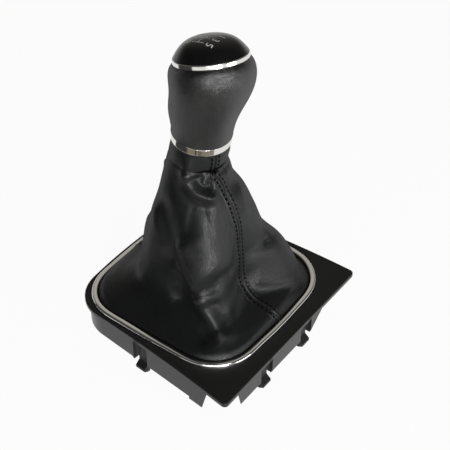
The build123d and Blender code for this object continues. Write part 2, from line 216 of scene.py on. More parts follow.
def grip_cover():
    """Satin black cover with a pebbled grain that sparkles in the light."""
    material, shader = new_material("grip_cover")
    place = shader.object_place()
    tone = shader.noise(place, scale=60.0, detail=3.0)
    pebble = shader.cells(place, scale=1300.0)
    fine = shader.noise(place, scale=2400.0, detail=2.0)
    grain = pebble.clamp(0.0, 0.4) * 1.7 + fine * 0.3
    shader.surface(
        Base_Color=shader.shades(tone, (0.0028, 0.0030, 0.0031), (0.0044, 0.0046, 0.0048)),
        Roughness=0.24 + tone * 0.05 + shader.edge_on() * 0.50,
        Specular_IOR_Level=0.68,
        Normal=shader.bump(grain, distance=0.16 * MM, strength=0.85),
    )
    return material


# How upright a face has to be to count as skirt, which gets a glossier finish and painted light, a slightly
# lighter colour: rate and start
SKIRT_RATE = 3.0
SKIRT_START = 1.6
# Snap hooks: depth of a tip, size in plan, and reach and fade of the dull finish round each, whose darker
# plate colour there is painted shade
HOOK_TIP = 0.3 * MM
HOOK_SIZE = 12.0 * MM
HOOK_DULL_AND_SHADE_REACH = 6.4 * MM
HOOK_DULL_AND_SHADE_FADE = 0.4 * MM


def hook_places():
    """Middle of each snap hook in plan, from the lowest points of the plate's moulding."""
    points = node_points("bezel_plate")
    left = points[points[:, 2] < plate_low.z + HOOK_TIP, :2]
    places = []
    while len(left):
        close = np.hypot(*(left - left[0]).T) < HOOK_SIZE
        places.append((*left[close].mean(axis=0), 0.0))
        left = left[~close]
    return places


def bezel_moulding():
    """Black moulded plastic: fine spark texture on the plate, smoother on the upright skirt, whose slightly
    lighter colour is painted light; the snap hooks keep the duller, darker plate finish as painted shade.
    """
    material, shader = new_material("bezel_moulding")
    place = shader.object_place()
    facing = shader.node("ShaderNodeNewGeometry", output="Normal")
    upright = 1.0 - shader.node("ShaderNodeSeparateXYZ", {}, [facing], output=2).math("ABSOLUTE")
    # Painted light: upright faces get a glossier finish and a slightly lighter colour.
    skirt_gloss_and_painted_light = (upright * SKIRT_RATE - SKIRT_START).clamp(0.0, 1.0)
    plan = shader.node("ShaderNodeVectorMath", {"operation": "MULTIPLY"}, [place, (1.0, 1.0, 0.0)])
    # Painted shade: round each snap hook the skirt fades out, so the hooks keep the darker, duller plate
    # finish.
    for hook in hook_places():
        away = shader.node("ShaderNodeVectorMath", {"operation": "DISTANCE"}, [plan, hook], output="Value")
        skirt_gloss_and_painted_light = skirt_gloss_and_painted_light * ((away - HOOK_DULL_AND_SHADE_REACH) * (1 / HOOK_DULL_AND_SHADE_FADE)).clamp(0.0, 1.0)
    tone = shader.noise(place, scale=45.0, detail=3.0)
    spark = shader.noise(place, scale=2300.0, detail=3.0, rough=0.7)
    shader.surface(
        # Plate colour, then the slightly lighter skirt colour that is painted light.
        Base_Color=shader.shades(skirt_gloss_and_painted_light, (0.0105, 0.0108, 0.0104), (0.0115, 0.0118, 0.0128)),
        Roughness=0.46 + tone * 0.08 - skirt_gloss_and_painted_light * 0.16,
        Specular_IOR_Level=0.22,
        Coat_Weight=skirt_gloss_and_painted_light * 0.22,
        Coat_Roughness=0.28,
        Normal=shader.bump(spark, distance=0.12 * MM, strength=0.45),
    )
    return material


def bright_trim():
    """Bright plating of the trim, faintly hazed."""
    material, shader = new_material("bright_trim")
    place = shader.object_place()
    haze = shader.noise(place, scale=220.0, detail=3.0)
    shader.surface(
        Base_Color=shader.shades(haze, (0.78, 0.775, 0.76), (0.86, 0.86, 0.855)),
        Metallic=1.0,
        Roughness=0.07 + haze * 0.06,
    )
    return material


def polished_ring():
    """Bright plating of the knob's rings, a little warmer than the trim."""
    material, shader = new_material("polished_ring")
    place = shader.object_place()
    haze = shader.noise(place, scale=300.0, detail=2.0)
    shader.surface(
        Base_Color=shader.shades(haze, (0.70, 0.69, 0.66), (0.76, 0.75, 0.72)),
        Metallic=1.0,
        Roughness=0.09 + haze * 0.05,
    )
    return material


def cap_gloss():
    """Deep gloss black moulding."""
    material, shader = new_material("cap_gloss")
    place = shader.object_place()
    haze = shader.noise(place, scale=90.0, detail=3.0)
    shader.surface(
        Base_Color=shader.shades(haze, (0.0036, 0.0036, 0.0039), (0.0056, 0.0056, 0.0060)),
        Roughness=0.22 + haze * 0.06,
        Specular_IOR_Level=0.25,
    )
    return material


def shift_marks():
    """Pale grey print of the shift marks."""
    material, shader = new_material("shift_marks")
    wear = shader.noise(shader.object_place(), scale=900.0, detail=3.0)
    shader.surface(
        Base_Color=shader.shades(wear, (0.78, 0.79, 0.80), (0.90, 0.90, 0.91)),
        Roughness=0.45,
    )
    return material


def seam_thread():
    """Black bonded thread with a twist."""
    material, shader = new_material("seam_thread")
    place = shader.object_place()
    twist = shader.noise(place, scale=3000.0, detail=2.0)
    shader.surface(
        Base_Color=shader.shades(twist, (0.0008, 0.0008, 0.0009), (0.0022, 0.0022, 0.0024)),
        Roughness=0.80,
        Specular_IOR_Level=0.05,
        Normal=shader.bump(twist, distance=0.2 * MM, strength=0.5),
    )
    return material


def core_moulding():
    """Plain black moulding of the hidden carrier."""
    material, shader = new_material("core_moulding")
    tone = shader.noise(shader.object_place(), scale=400.0, detail=3.0)
    shader.surface(
        Base_Color=shader.shades(tone, (0.018, 0.018, 0.018), (0.030, 0.030, 0.030)),
        Roughness=0.5,
        Normal=shader.bump(tone, distance=0.1 * MM, strength=0.4),
    )
    return material


def zinc_plating():
    """Zinc-plated steel of the lever sleeve and its clamp."""
    material, shader = new_material("zinc_plating")
    place = shader.object_place()
    haze = shader.noise(place, scale=260.0, detail=4.0)
    shader.surface(
        Base_Color=shader.shades(haze, (0.50, 0.51, 0.53), (0.62, 0.63, 0.64)),
        Metallic=1.0,
        Roughness=0.26 + haze * 0.16,
    )
    return material


def dress(name, material):
    """Gives a CAD node its finish."""
    node = frame["nodes"][name]
    node.data.materials.clear()
    node.data.materials.append(material)
    for polygon in node.data.polygons:
        polygon.use_smooth = True


leather = boot_leather()
plastic = bezel_moulding()
rings = polished_ring()
steel = zinc_plating()
thread = seam_thread()
dress("bezel_plate", plastic)
dress("boot_retainer", plastic)
dress("knob_grip", grip_cover())
dress("knob_cap", cap_gloss())
dress("knob_upper_ring", rings)
dress("knob_collar", rings)
dress("knob_core", core_moulding())
dress("lever_sleeve", steel)
dress("lever_clamp", steel)


# Boot skin

BOOT_GAP = 0.4 * MM
NECK_RADIUS = 17.7 * MM
NECK_LENGTH = 13.0 * MM
HEM_RISE = 0.3 * MM
HEM_SINK = 3.0 * MM
# Share of the height above which the boot's rings lean with the knob
LEAN_START = 0.7
COLUMNS = 360
ROWS = 230
NECK_ROWS = 24
ROW_CROWDING = 1.15
SEAM_CROWDING = 0.78
SPLIT_SHARE = 0.45

# Share of the boot's height, then where it stands between its neck, 0, and its hem, 1, in eight ways:
# right, front right, front, front left, left, rear left, rear, rear right
BOOT_LEVELS = [
    (0.00, (1.00, 1.00, 1.00, 1.00, 1.00, 1.00, 1.00, 1.00)),
    (0.03, (0.95, 0.95, 0.98, 0.93, 0.96, 0.96, 0.97, 0.95)),
    (0.06, (0.82, 0.80, 0.92, 0.89, 0.88, 0.90, 0.90, 0.83)),
    (0.10, (0.66, 0.68, 0.60, 0.86, 0.72, 0.80, 0.70, 0.66)),
    (0.15, (0.52, 0.60, 0.43, 0.82, 0.56, 0.68, 0.52, 0.50)),
    (0.20, (0.44, 0.55, 0.36, 0.78, 0.47, 0.58, 0.43, 0.44)),
    (0.26, (0.39, 0.50, 0.33, 0.72, 0.40, 0.50, 0.37, 0.40)),
    (0.33, (0.35, 0.455, 0.32, 0.63, 0.36, 0.44, 0.34, 0.38)),
    (0.40, (0.33, 0.42, 0.32, 0.50, 0.34, 0.39, 0.32, 0.355)),
    (0.46, (0.31, 0.40, 0.31, 0.41, 0.32, 0.36, 0.31, 0.34)),
    (0.60, (0.26, 0.33, 0.30, 0.31, 0.27, 0.28, 0.27, 0.27)),
    (0.75, (0.18, 0.20, 0.20, 0.19, 0.18, 0.18, 0.19, 0.17)),
    (0.87, (0.09, 0.09, 0.05, 0.05, 0.06, 0.08, 0.09, 0.11)),
    (1.00, (0.00, 0.00, 0.00, 0.00, 0.00, 0.00, 0.00, 0.00)),
]
# How sharply each corner's ridge stands out from the sides: front right, front left, rear left, rear right
RIDGE_SHARPNESS = (1.25, 1.25, 2.0, 2.2)
# How much sharper the front right ridge gets towards the hem, and between which shares of the height
LOW_SHARPNESS = 1.9
LOW_SHARES = (0.36, 0.20)

# Way of the front seam: share of the height and angle from the car's right, in degrees
SEAM_WAY = [
    (0.00, 92.0),
    (0.07, 89.5),
    (0.12, 87.5),
    (0.32, 87.7),
    (0.57, 87.0),
    (0.69, 85.7),
    (0.79, 84.7),
    (0.88, 80.5),
    (0.97, 70.0),
    (1.00, 67.0),
]

# Folds of the leather: way as (angle, share), then height and half width on the left and right of it, in mm
FOLDS = {
    "drape_ridge": (
        [(4, 1.03), (11, 0.985), (16, 0.94), (27, 0.895), (41, 0.868), (54, 0.853), (70, 0.858)],
        4.0, 5.2, 3.8),
    "drape_hollow": ([(24, 0.985), (34, 0.938), (48, 0.908), (64, 0.900)], -2.6, 4.8, 4.8),
    "drape_shadow": ([(0, 0.93), (8, 0.87), (22, 0.82), (40, 0.798), (60, 0.795)], -1.6, 6.0, 5.0),
    "upper_pleat": ([(68, 0.975), (56, 0.972), (46, 0.945), (42, 0.92)], 0.9, 2.0, 2.0),
    "side_valley": (
        [(-46, 0.76), (-24, 0.69), (-13, 0.59), (-5, 0.48), (1, 0.41), (6, 0.34)],
        -2.0, 7.0, 7.5),
    "side_ridge": ([(-50, 0.70), (-35, 0.63), (-23, 0.56), (-13, 0.49), (-9, 0.40)], 1.0, 6.0, 6.0),
    "shoulder_hollow": ([(16, 0.715), (36, 0.715), (52, 0.725)], -0.8, 9.0, 9.0),
    "cross_hollow": ([(72, 0.59), (56, 0.60), (46, 0.595), (34, 0.555), (22, 0.51)], -0.7, 8.0, 7.5),
    "cross_ridge": ([(52, 0.64), (33, 0.60), (16, 0.51)], 0.6, 8.0, 8.0),
    "belly": ([(76, 0.45), (62, 0.47), (48, 0.45), (36, 0.41), (26, 0.37)], 2.4, 8.0, 12.0),
    "belly_under": ([(77, 0.335), (66, 0.362), (56, 0.370), (48, 0.335), (44, 0.27)], -1.9, 5.0, 4.5),
    "belly_edge": (
        [(6, 0.62), (12, 0.55), (17, 0.48), (25, 0.39), (31, 0.32), (35, 0.25), (38, 0.19)],
        3.2, 12.0, 5.0),
    "corner_ridge": (
        [(31, 0.31), (35, 0.25), (38, 0.20), (41.5, 0.155), (45, 0.112), (46.5, 0.076), (45, 0.03)],
        3.0, 5.0, 5.0),
    "corner_hollow": (
        [(2, 0.25), (14, 0.18), (24, 0.150), (32, 0.115), (38.5, 0.080), (43, 0.045)],
        -3.4, 7.0, 6.0),
    "pinch_ridge": (
        [(86, 0.20), (78, 0.165), (70, 0.142), (62, 0.120), (58, 0.095), (54, 0.074), (49, 0.045)],
        1.5, 5.5, 5.5),
    "pinch_hollow": ([(44, 0.26), (49, 0.205), (53, 0.145), (53, 0.10), (50, 0.065)], -1.2, 4.0, 4.0),
    "front_streak": ([(122, 0.82), (112, 0.77), (107, 0.70), (103, 0.60)], 0.9, 5.0, 5.0),
    "facet_valley": ([(91, 0.36), (104, 0.385), (114, 0.40), (128, 0.41)], -1.4, 5.5, 6.5),
    "facet_edge": ([(94, 0.21), (106, 0.155), (115, 0.115), (126, 0.075)], 1.3, 7.0, 5.0),
    "facet_under": ([(90, 0.125), (104, 0.095), (116, 0.060), (126, 0.040)], -1.0, 4.5, 4.5),
    "side_crease": ([(-46, 0.17), (-22, 0.235), (-3, 0.272), (18, 0.285)], 0.8, 6.0, 7.0),
    "left_ridge": ([(206, 0.60), (198, 0.48), (190, 0.36), (182, 0.26)], 2.4, 6.0, 6.0),
    "left_hollow": ([(178, 0.62), (172, 0.50), (168, 0.38), (166, 0.26)], -2.2, 6.0, 6.0),
    "rear_swag": ([(296, 0.93), (288, 0.89), (276, 0.87), (260, 0.872), (246, 0.91)], 2.4, 3.6, 3.2),
    "rear_hollow": ([(290, 0.95), (280, 0.92), (266, 0.92), (252, 0.95)], -1.8, 3.4, 3.4),
    "rear_left_ridge": ([(244, 0.56), (236, 0.42), (228, 0.28), (225, 0.14)], 3.0, 6.0, 6.0),
    "rear_right_fold": ([(296, 0.58), (304, 0.44), (310, 0.30), (314, 0.16)], 2.2, 6.0, 5.0),
    "rear_crease": ([(252, 0.30), (266, 0.255), (280, 0.25), (296, 0.27)], 1.6, 5.0, 4.0),
}


def between(knots, at):
    """Smooth curve through knots (place, value) that never overshoots, at many places."""
    places, values = (np.array(column, float) for column in zip(*knots))
    steps = np.diff(places)
    slopes = np.diff(values) / steps
    ahead, behind = slopes[1:], slopes[:-1]
    same = ahead * behind > 0
    both = np.where(same, ahead + behind, 1.0)
    middle = np.where(same, 2 * ahead * behind / both, 0.0)
    tangent = np.concatenate([slopes[:1], middle, slopes[-1:]])
    index = np.clip(np.searchsorted(places, at) - 1, 0, len(steps) - 1)
    gap = steps[index]
    part = (at - places[index]) / gap
    square, cube = part**2, part**3
    start = values[index] * (2 * cube - 3 * square + 1) + tangent[index] * gap * (cube - 2 * square + part)
    end = values[index + 1] * (3 * square - 2 * cube) + tangent[index + 1] * gap * (cube - square)
    return start + end


def smooth_step(low, high, at):
    part = np.clip((at - low) / (high - low), 0, 1)
    return part * part * (3 - 2 * part)


# Trim as it is measured: columns of the table, sectors searched, and waves kept by the smoothing
EVEN_ANGLES = np.linspace(-math.pi, math.pi, 720, endpoint=False)
TRIM_SECTORS = 120
TRIM_WAVES = 24


def trim_table(measure, pick):
    """Inner reach, outer reach or top of the trim by angle, from its vertices, smoothed round the ring."""
    points = node_points("bezel_trim") - np.array([trim_middle.x, trim_middle.y, 0])
    angles = np.arctan2(points[:, 1], points[:, 0])
    values = measure(points)
    which = np.digitize(angles, np.linspace(-math.pi, math.pi, TRIM_SECTORS + 1)) - 1
    found = []
    for sector in range(TRIM_SECTORS):
        here = which == sector
        if here.any():
            best = pick(values[here])
            found.append((angles[here][best], values[here][best]))
    places, best_values = (np.array(column) for column in zip(*found))
    waves = np.fft.rfft(np.interp(EVEN_ANGLES, places, best_values, period=2 * math.pi))
    waves[TRIM_WAVES:] = 0
    return np.fft.irfft(waves, len(EVEN_ANGLES))


def plan_reach(points):
    return np.hypot(points[:, 0], points[:, 1])


reach_inner = trim_table(plan_reach, np.argmin)
reach_outer = trim_table(plan_reach, np.argmax)
trim_top = trim_table(lambda points: points[:, 2], np.argmax)
hem_top = plate_high.z + HEM_RISE
neck_foot = collar_middle - knob_up * NECK_LENGTH


def hem_reach(angle):
    return np.interp(angle, EVEN_ANGLES, reach_inner, period=2 * math.pi) - BOOT_GAP


def boot_out(angle, share):
    """How far out between neck and hem the boot stands: a ridge over each corner, flatter between them."""
    shares = [level for level, row in BOOT_LEVELS]
    columns = zip(*(row for level, row in BOOT_LEVELS))
    ways = np.stack([between(list(zip(shares, column)), share) for column in columns])
    quarter = angle / (math.pi / 2)
    side = (2 * np.round(quarter).astype(int)) % 8
    corner = (2 * np.floor(quarter).astype(int) + 1) % 8
    sharpness = np.array(RIDGE_SHARPNESS)[corner // 2]
    front_right = corner == 1
    sharpness = sharpness + LOW_SHARPNESS * front_right * smooth_step(*LOW_SHARES, share)
    at_side = np.take_along_axis(ways, side[None], axis=0)[0]
    at_corner = np.take_along_axis(ways, corner[None], axis=0)[0]
    return at_side + (at_corner - at_side) * np.abs(np.sin(2 * angle)) ** sharpness


def boot_form(angle, share):
    """Points of the boot's plain form at angles and shares of its height."""
    reach = NECK_RADIUS + boot_out(angle, share) * (hem_reach(angle) - NECK_RADIUS)
    x = trim_middle.x + share * (neck_foot[0] - trim_middle.x) + reach * np.cos(angle)
    y = trim_middle.y + share * (neck_foot[1] - trim_middle.y) + reach * np.sin(angle)
    lean = np.clip((share - LEAN_START) / (1 - LEAN_START), 0, 1) ** 2 * knob_up[1] / knob_up[2]
    z = hem_top + share * (neck_foot[2] - hem_top) - lean * reach * np.sin(angle)
    return np.stack([x, y, z], axis=-1)


def grid_normals(points):
    """Outward unit normals of a grid of points whose rows go up and columns go round."""
    round_step = np.roll(points, -1, axis=1) - np.roll(points, 1, axis=1)
    up_step = np.gradient(points, axis=0)
    normals = np.cross(round_step, up_step)
    return normals / np.linalg.norm(normals, axis=-1, keepdims=True)


# Folds: points along one, parts of its length over which it fades in and out, and reach in half widths
FOLD_POINTS = 70
FOLD_START = (0.0, 0.22)
FOLD_END = (1.0, 0.80)
FOLD_REACH = 2.6


def fold_line(way):
    """A fold's way over the plain form, as close points with a taper that dies at both ends."""
    knots = np.linspace(0, 1, len(way))
    at = np.linspace(0, 1, FOLD_POINTS)
    angle = np.radians(between(list(zip(knots, [a for a, s in way])), at))
    share = between(list(zip(knots, [s for a, s in way])), at)
    return boot_form(angle, share), smooth_step(*FOLD_START, at) * smooth_step(*FOLD_END, at)


def fold_height(points, normals, way, height, left, right):
    """How much one fold lifts each point of the plain form."""
    line, taper = fold_line(way)
    room = FOLD_REACH * max(left, right) * MM
    close = ((points > line.min(axis=0) - room) & (points < line.max(axis=0) + room)).all(axis=-1)
    offset = points[close][:, None, :] - line[None, :, :]
    gaps = np.linalg.norm(offset, axis=-1)
    nearest = gaps.argmin(axis=-1)
    onward = np.gradient(line, axis=0)[nearest]
    beside = np.take_along_axis(offset, nearest[:, None, None], axis=1)[:, 0]
    leftward = (np.cross(normals[close], onward) * beside).sum(axis=-1) > 0
    width = np.where(leftward, left, right) * MM
    lift = np.zeros(points.shape[:2])
    lift[close] = height * MM * taper[nearest] * np.exp(-((gaps.min(axis=-1) / width) ** 2))
    return lift


# Gentle unevenness: height, seed, number of waves, their lengths in mm, and shares where it fades in and out
RIPPLE_HEIGHT = 0.05 * MM
RIPPLE_SEED = 3
RIPPLE_WAVES = 26
RIPPLE_LENGTHS = (9.0, 22.0)
RIPPLE_START = (0.05, 0.16)
RIPPLE_END = (1.0, 0.93)


def slow_ripple(points, share):
    """Gentle unevenness: many weak waves in chance directions, none at hem and neck."""
    chance = np.random.default_rng(RIPPLE_SEED)
    total = np.zeros(points.shape[:2])
    for _ in range(RIPPLE_WAVES):
        toward = chance.normal(size=3)
        toward /= np.linalg.norm(toward)
        length = chance.uniform(*RIPPLE_LENGTHS) * MM
        total += np.cos(points @ toward * 2 * math.pi / length + chance.uniform(0, 2 * math.pi))
    calm = smooth_step(*RIPPLE_START, share) * smooth_step(*RIPPLE_END, share)
    return calm * RIPPLE_HEIGHT * total / math.sqrt(RIPPLE_WAVES)


# Pleats under the tie: height, seed, numbers round the neck, and how much of a wave they drift, in radians,
# then the angle of their middle by a seam and their spread in degrees, and shares where they fade in and out
GATHER_HEIGHT = 0.7 * MM
GATHER_SEED = 11
GATHER_COUNTS = (9, 14, 19, 26)
GATHER_DRIFT = 12.0
GATHER_ANGLE = 80.0
GATHER_SPREAD = 26.0
GATHER_START = (0.80, 0.95)
GATHER_END = (1.04, 0.985)


def neck_gathers(angle, share):
    """Small pleats that run down from the tied neck by both seams."""
    chance = np.random.default_rng(GATHER_SEED)
    total = np.zeros(angle.shape)
    for count in GATHER_COUNTS:
        drift = chance.uniform(-GATHER_DRIFT, GATHER_DRIFT)
        total += np.cos(count * angle + drift * share + chance.uniform(0, 2 * math.pi)) / math.sqrt(count)
    by_seam = np.exp(-(((np.degrees(angle) % 180 - GATHER_ANGLE) / GATHER_SPREAD) ** 2))
    fade = smooth_step(*GATHER_START, share) * smooth_step(*GATHER_END, share)
    return GATHER_HEIGHT * total * by_seam * fade


def boot_grid():
    """Columns round the boot, crowded at the two seams, and rows from hem to neck."""
    turn = np.linspace(0, 2 * math.pi, COLUMNS, endpoint=False)
    share = np.linspace(0, 1, ROWS) ** ROW_CROWDING
    seam = np.radians(between(SEAM_WAY, share))
    aside = turn - SEAM_CROWDING * np.sin(2 * turn) / 2
    angle = seam[:, None] + aside[None, :]
    return angle, np.broadcast_to(share[:, None], angle.shape)


def seam_distance(points, column):
    """Distance along each row from a seam's column, minus on one side."""
    turned = np.roll(points, COLUMNS // 2 - column, axis=1)
    steps = np.linalg.norm(np.diff(turned, axis=1), axis=-1)
    along = np.concatenate([np.zeros((len(points), 1)), np.cumsum(steps, axis=1)], axis=1)
    along -= along[:, COLUMNS // 2][:, None]
    return np.roll(along, column - COLUMNS // 2, axis=1)


SEAM_COLUMNS = {"front": 0, "rear": COLUMNS // 2}
STITCH_ASIDE = 2.7 * MM
SEAM_PAD = 0.45 * MM
SEAM_PAD_EDGE = (4.2 * MM, 3.2 * MM)
SEAM_GROOVE = 0.85 * MM
SEAM_GROOVE_WIDTH = 0.45 * MM
STITCH_DENT = 0.30 * MM
STITCH_DENT_WIDTH = 0.5 * MM


def seam_lift(points):
    """Raised pads with a groove between them, and a dent along each row of stitches."""
    lift = np.zeros(points.shape[:2])
    for column in SEAM_COLUMNS.values():
        gap = np.abs(seam_distance(points, column))
        lift += SEAM_PAD * smooth_step(*SEAM_PAD_EDGE, gap)
        lift -= SEAM_GROOVE * np.exp(-((gap / SEAM_GROOVE_WIDTH) ** 2))
        lift -= STITCH_DENT * np.exp(-(((gap - STITCH_ASIDE) / STITCH_DENT_WIDTH) ** 2))
    return lift


# Dip below the knot: depth, angle and spread in degrees, and share of the height with its spread
KNOT_DIP = 1.7 * MM
KNOT_DIP_ANGLE = 95.0
KNOT_DIP_SPREAD = 55.0
KNOT_DIP_SHARE = 0.972
KNOT_DIP_HEIGHT = 0.028
# Fuller leather under the tie at the rear right: lift, angle and spread in degrees, and shares where it grows
NECK_FLARE = 1.6 * MM
FLARE_ANGLE = -50.0
FLARE_SPREAD = 62.0
FLARE_SHARES = (0.86, 1.0)
# Shares of the height over which all of this fades in above the hem
HEM_HOLD = (0.0, 0.05)


def boot_surface():
    """The boot's skin from hem to tie: its plain form with all that lifts or dents it."""
    angle, share = boot_grid()
    points = boot_form(angle, share)
    normals = grid_normals(points)
    lift = np.zeros(angle.shape)
    for way, height, left, right in FOLDS.values():
        lift += fold_height(points, normals, way, height, left, right)
    lift += slow_ripple(points, share)
    lift += neck_gathers(angle, share)
    from_knot = np.degrees(angle) % 360 - KNOT_DIP_ANGLE
    above_dip = share - KNOT_DIP_SHARE
    lift -= KNOT_DIP * np.exp(-((from_knot / KNOT_DIP_SPREAD) ** 2) - (above_dip / KNOT_DIP_HEIGHT) ** 2)
    from_flare = (np.degrees(angle) - FLARE_ANGLE + 180) % 360 - 180
    lift += NECK_FLARE * np.exp(-((from_flare / FLARE_SPREAD) ** 2)) * smooth_step(*FLARE_SHARES, share)
    return points + normals * (lift * smooth_step(*HEM_HOLD, share))[..., None]


# Band above the tie: gap to the collar, fullness, how soon the fullness ends, and where the band turns round
NECK_GAP = 0.3 * MM
NECK_FULLNESS = 0.55 * MM
FULLNESS_PACE = 1.15
NECK_ROUND = 0.85


def neck_rows(foot_row):
    """Band of leather from the tie up to the collar, a little fuller in its middle."""
    rows = []
    for step in np.linspace(0, 1, NECK_ROWS)[1:]:
        rise = step * (NECK_LENGTH - NECK_GAP)
        aim = foot_row + knob_up * rise
        out = aim - neck_foot - ((aim - neck_foot) @ knob_up)[:, None] * knob_up
        reach = np.linalg.norm(out, axis=1, keepdims=True)
        full = NECK_RADIUS + NECK_FULLNESS * math.sin(math.pi * min(1.0, step * FULLNESS_PACE))
        ease = smooth_step(0, NECK_ROUND, step)
        rows.append(aim + out / reach * (full - reach) * ease)
    return np.stack(rows)


def sheet_mesh(name, grid):
    """Mesh of a grid of points that closes on itself round its columns."""
    rows, columns = grid.shape[:2]
    faces = []
    for row in range(rows - 1):
        for column in range(columns):
            after = (column + 1) % columns
            low = row * columns
            high = low + columns
            faces.append((low + column, low + after, high + after, high + column))
    mesh = bpy.data.meshes.new(name)
    mesh.from_pydata(grid.reshape(-1, 3).tolist(), [], faces)
    mesh.update()
    for polygon in mesh.polygons:
        polygon.use_smooth = True
    return mesh


def add_piece(name, mesh, material):
    mesh.materials.append(material)
    piece = bpy.data.objects.new(name, mesh)
    bpy.context.scene.collection.objects.link(piece)
    return piece


# Groove of the tie: depth, half width, share of the depth away from the front, and the front in degrees
TIE_GROOVE = 1.0 * MM
TIE_GROOVE_WIDTH = 1.2 * MM
TIE_SHALLOW = 0.12
TIE_FRONT_ANGLE = 68.0
TIE_FRONT_SPREAD = 30.0
CORD_RADIUS = 0.60 * MM


def tie_groove(points):
    """How deep the drawn cord lies in the leather round the neck's foot: deepest by the front seam."""
    offset = points - neck_foot
    rise = offset @ knob_up
    turn = np.degrees(np.arctan2(offset[..., 1], offset[..., 0]))
    front = np.exp(-(((turn - TIE_FRONT_ANGLE) / TIE_FRONT_SPREAD) ** 2))
    depth = TIE_GROOVE * (TIE_SHALLOW + (1 - TIE_SHALLOW) * front)
    return depth * np.exp(-((rise / TIE_GROOVE_WIDTH) ** 2))


plain_skin = boot_surface()
hem_row = plain_skin[:1] - np.array([0, 0, HEM_SINK])
skin_grid = np.concatenate([hem_row, plain_skin, neck_rows(plain_skin[-1])])
skin_grid = skin_grid + grid_normals(skin_grid) * (seam_lift(skin_grid) - tie_groove(skin_grid))[..., None]
skin_normals = grid_normals(skin_grid)
split_row = 1 + int(np.searchsorted(np.linspace(0, 1, ROWS) ** ROW_CROWDING, SPLIT_SHARE))
split_z = float(skin_grid[split_row, :, 2].mean())


def bend_lower(piece):
    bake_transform(piece)


def bend_upper(piece):
    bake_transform(piece)


boot_lower = add_piece("boot_lower_skin", sheet_mesh("boot_lower_skin", skin_grid[: split_row + 1]), leather)
boot_upper = add_piece("boot_upper_skin", sheet_mesh("boot_upper_skin", skin_grid[split_row:]), leather)


# Bright trim round the boot

TRIM_HEIGHT = 3.2 * MM
TRIM_ROUNDNESS = 3.2
TRIM_ROWS = 19


def trim_bead():
    """Trim ring with a softly crowned top, on the same track, width and height as the plain ring."""
    turns = np.linspace(0, math.pi, TRIM_ROWS)
    aside = np.cos(turns)
    across = np.sign(aside) * np.abs(aside) ** (2 / TRIM_ROUNDNESS)
    rise = np.sin(turns) ** (2 / TRIM_ROUNDNESS)
    middle_reach = (reach_inner + reach_outer) / 2
    half = (reach_outer - reach_inner) / 2
    rows = []
    for out, up in zip(across, rise):
        reach = middle_reach + out * half
        x = trim_middle.x + reach * np.cos(EVEN_ANGLES)
        y = trim_middle.y + reach * np.sin(EVEN_ANGLES)
        rows.append(np.stack([x, y, trim_top - TRIM_HEIGHT * (1 - up)], axis=-1))
    return np.stack(rows)


trim_ring = add_piece("trim_ring", sheet_mesh("trim_ring", trim_bead()), bright_trim())
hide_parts("bezel_trim")
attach(trim_ring, "frame")


# Stitches

STITCH_PITCH = 3.3 * MM
STITCH_LENGTH = 2.5 * MM
STITCH_RADIUS = 0.50 * MM
STITCH_START = HEM_SINK + 0.5 * MM
# How far one stitch bows out, how deep its ends lie, and its rings, sides and step ahead
STITCH_BOW = 0.34 * MM
STITCH_SINK = 0.24 * MM
STITCH_RINGS = 6
STITCH_SIDES = 8
STITCH_AHEAD = 0.2 * MM
# Columns searched on each side of a seam
STITCH_COLUMNS = 60


def stitch_line(column, aside):
    """Points and normals along one row of stitches, from hem to collar."""
    distance = seam_distance(skin_grid, column)
    order = (np.arange(-STITCH_COLUMNS, STITCH_COLUMNS + 1) + column) % COLUMNS
    places, outward = [], []
    for row in range(len(skin_grid)):
        across = distance[row, order]
        places.append([np.interp(aside, across, skin_grid[row, order, axis]) for axis in range(3)])
        outward.append([np.interp(aside, across, skin_normals[row, order, axis]) for axis in range(3)])
    return np.array(places), np.array(outward)


def stitch_rings(places, outward, begin, finish):
    """Rings of one stitch: thick in the middle, drawn into the leather at both ends."""
    along = np.concatenate([[0], np.cumsum(np.linalg.norm(np.diff(places, axis=0), axis=1))])
    turns = np.linspace(0, 2 * math.pi, STITCH_SIDES, endpoint=False)
    rings = []
    for part in np.linspace(0, 1, STITCH_RINGS):
        at = begin + (finish - begin) * part
        centre = np.array([np.interp(at, along, places[:, axis]) for axis in range(3)])
        out = np.array([np.interp(at, along, outward[:, axis]) for axis in range(3)])
        out /= np.linalg.norm(out)
        ahead = np.array([np.interp(at + STITCH_AHEAD, along, places[:, axis]) for axis in range(3)]) - centre
        beside = np.cross(out, ahead)
        beside /= np.linalg.norm(beside)
        bow = math.sin(math.pi * part)
        radius = STITCH_RADIUS * (1 + bow) / 2
        middle = centre + out * (STITCH_BOW * bow - STITCH_SINK)
        rings.append([middle + radius * (math.cos(t) * beside + math.sin(t) * out) for t in turns])
    return rings


def stitch_rows():
    """All stitches of both seams, as rings grouped below and above the split."""
    groups = {"lower": [], "upper": []}
    for column in SEAM_COLUMNS.values():
        for aside in (-STITCH_ASIDE, STITCH_ASIDE):
            places, outward = stitch_line(column, aside)
            length = np.linalg.norm(np.diff(places, axis=0), axis=1).sum()
            begin = STITCH_START
            while begin + STITCH_LENGTH < length:
                rings = stitch_rings(places, outward, begin, begin + STITCH_LENGTH)
                groups["lower" if rings[2][0][2] < split_z else "upper"].append(rings)
                begin += STITCH_PITCH
    return groups


def tube_mesh(name, tubes):
    """One mesh of many closed tubes, each a list of rings."""
    points, faces = [], []
    for rings in tubes:
        count = len(rings[0])
        base = len(points)
        points.extend(point for ring in rings for point in ring)
        for k in range(len(rings) - 1):
            for j in range(count):
                low = base + k * count
                faces.append((low + j, low + (j + 1) % count, low + count + (j + 1) % count, low + count + j))
        last = base + (len(rings) - 1) * count
        faces.append(tuple(range(base + count - 1, base - 1, -1)))
        faces.append(tuple(range(last, last + count)))
    mesh = bpy.data.meshes.new(name)
    mesh.from_pydata([tuple(point) for point in points], [], faces)
    mesh.update()
    for polygon in mesh.polygons:
        polygon.use_smooth = True
    return mesh


CORD_SIDES = 10


